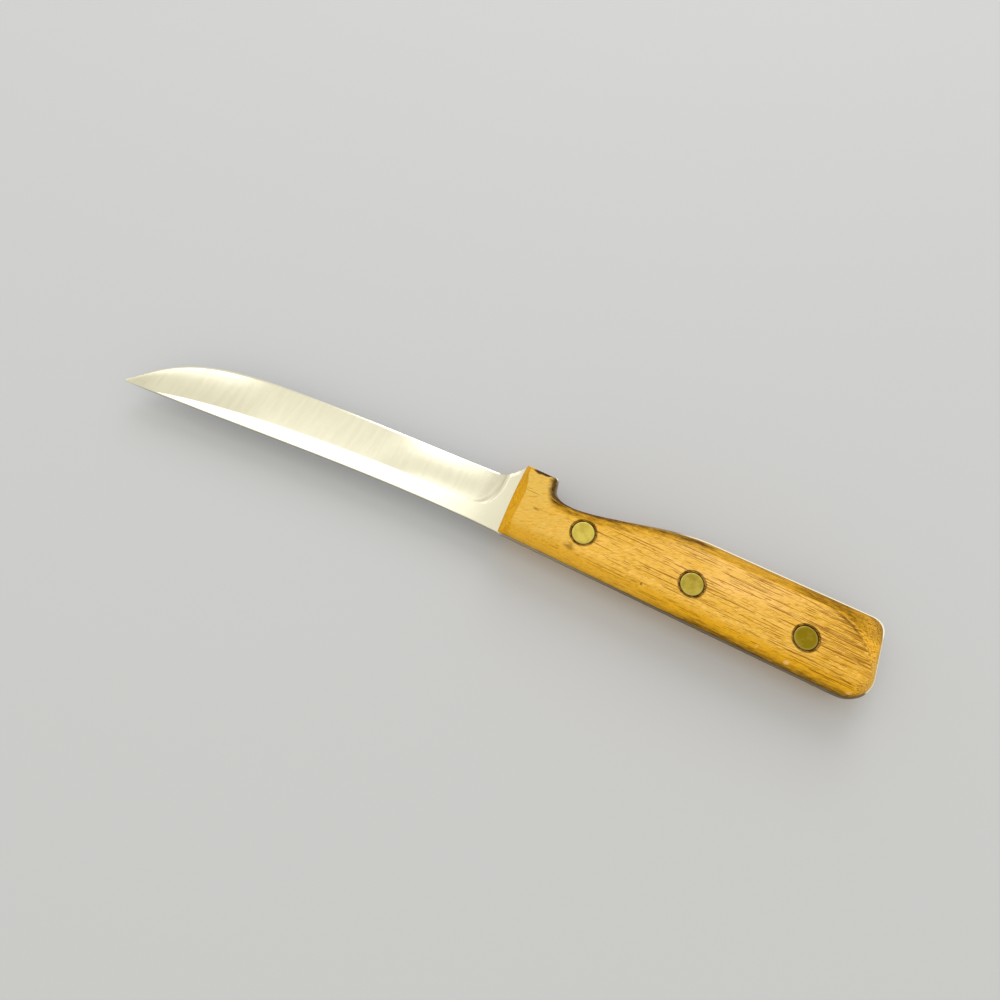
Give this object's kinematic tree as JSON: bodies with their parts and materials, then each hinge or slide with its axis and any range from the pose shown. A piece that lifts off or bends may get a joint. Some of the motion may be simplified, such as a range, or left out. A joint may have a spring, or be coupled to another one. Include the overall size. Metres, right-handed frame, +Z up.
{
  "type": "fillet knife",
  "caption": "Fixed-blade fillet knife: a narrow hollow-ground blade with an upswept tip, on a full tang between riveted wooden scales shaped to a guard, waist and palm swell.",
  "frame": {"origin": "centre of the bounding box on the surface that the knife lies on, under its left scale", "axes": "+X along the knife from the tip to the butt, +Y from the spine to the cutting edge, +Z up out of the right scale"},
  "size_m": [0.2404, 0.0334, 0.0158],
  "materials": {
    "steel": "satin, hollow ground",
    "wood": "oiled, worn",
    "brass": "satin, slightly tarnished"
  },
  "bodies": {
    "root": {"blade": "steel", "right_scale": "wood", "left_scale": "wood", "front_rivet_post": "brass", "front_rivet_sleeve": "brass", "middle_rivet_post": "brass", "middle_rivet_sleeve": "brass", "rear_rivet_post": "brass", "rear_rivet_sleeve": "brass"}
  },
  "joints": []
}
